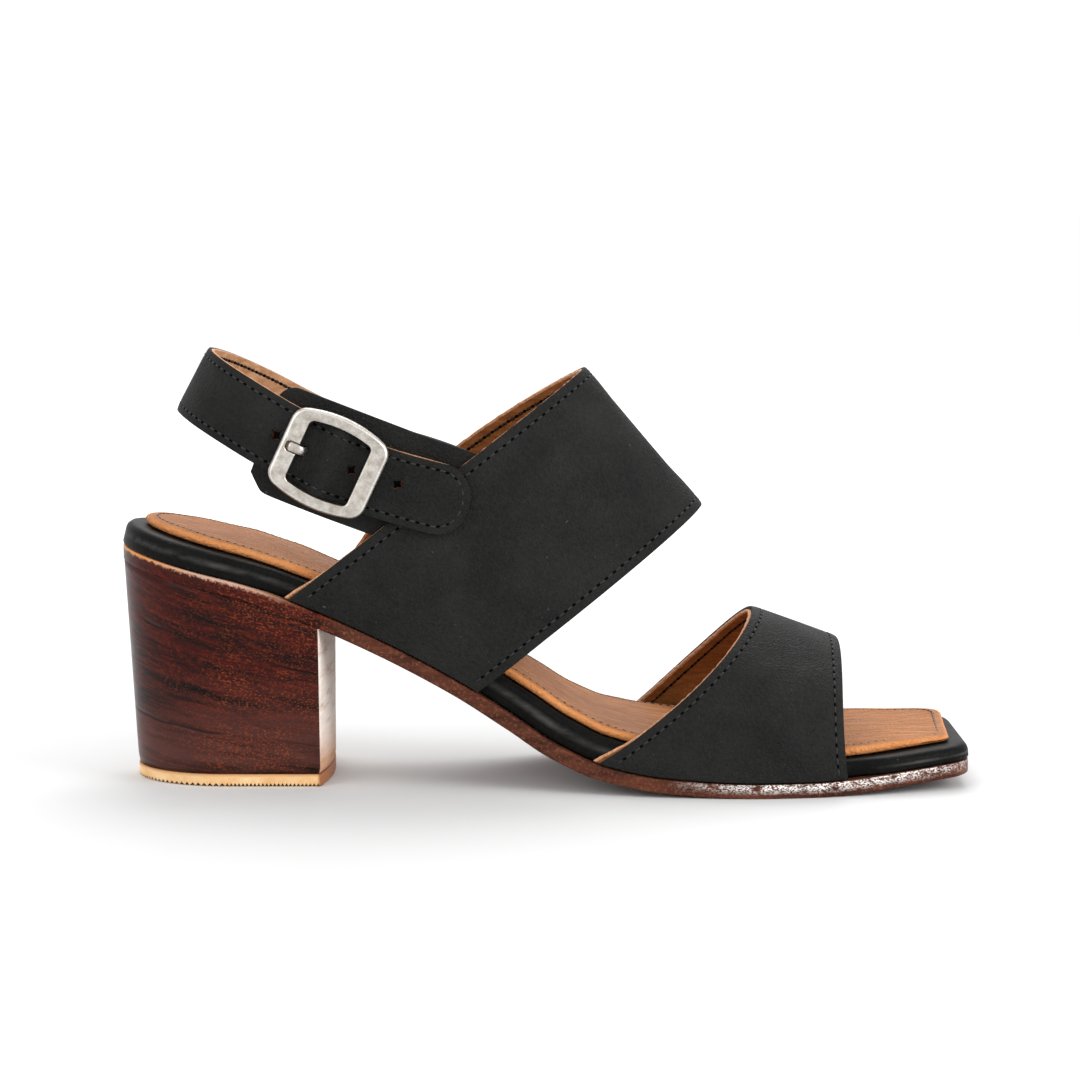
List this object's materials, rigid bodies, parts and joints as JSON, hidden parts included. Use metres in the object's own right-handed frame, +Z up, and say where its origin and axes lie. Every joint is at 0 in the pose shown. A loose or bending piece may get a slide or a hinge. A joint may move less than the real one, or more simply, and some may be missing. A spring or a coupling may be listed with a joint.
{
  "type": "heeled sandal",
  "caption": "Open-toed leather sandal with a stacked block heel, wrapped platform, wide toe and instep bands, and a buckled sling strap around the heel.",
  "frame": {"origin": "middle of the bounding box's base, on the floor that the heel and the ball of the sole stand on", "axes": "+X towards the toe, +Y towards the inner side of the foot, +Z up; the outer side with the buckle is -Y"},
  "size_m": [0.2385, 0.0811, 0.1219],
  "materials": {
    "sole_leather": "burnished red-brown edge",
    "stacked_leather": "polished stacked leather, streaked",
    "lift_rubber": "matt, pale tan",
    "wrap_leather": "smooth black",
    "tan_leather": "natural tan",
    "band_leather": "soft black, tan lining",
    "upper_leather": "soft black, tan lining",
    "nickel": "brushed nickel plate"
  },
  "bodies": {
    "root": {"outsole": "sole_leather", "heel_block": "stacked_leather", "heel_top_lift": "lift_rubber", "platform": "wrap_leather", "insole": "tan_leather", "toe_band": "band_leather", "upper": "upper_leather", "buckle_frame": "nickel", "buckle_prong": "nickel"}
  },
  "joints": []
}
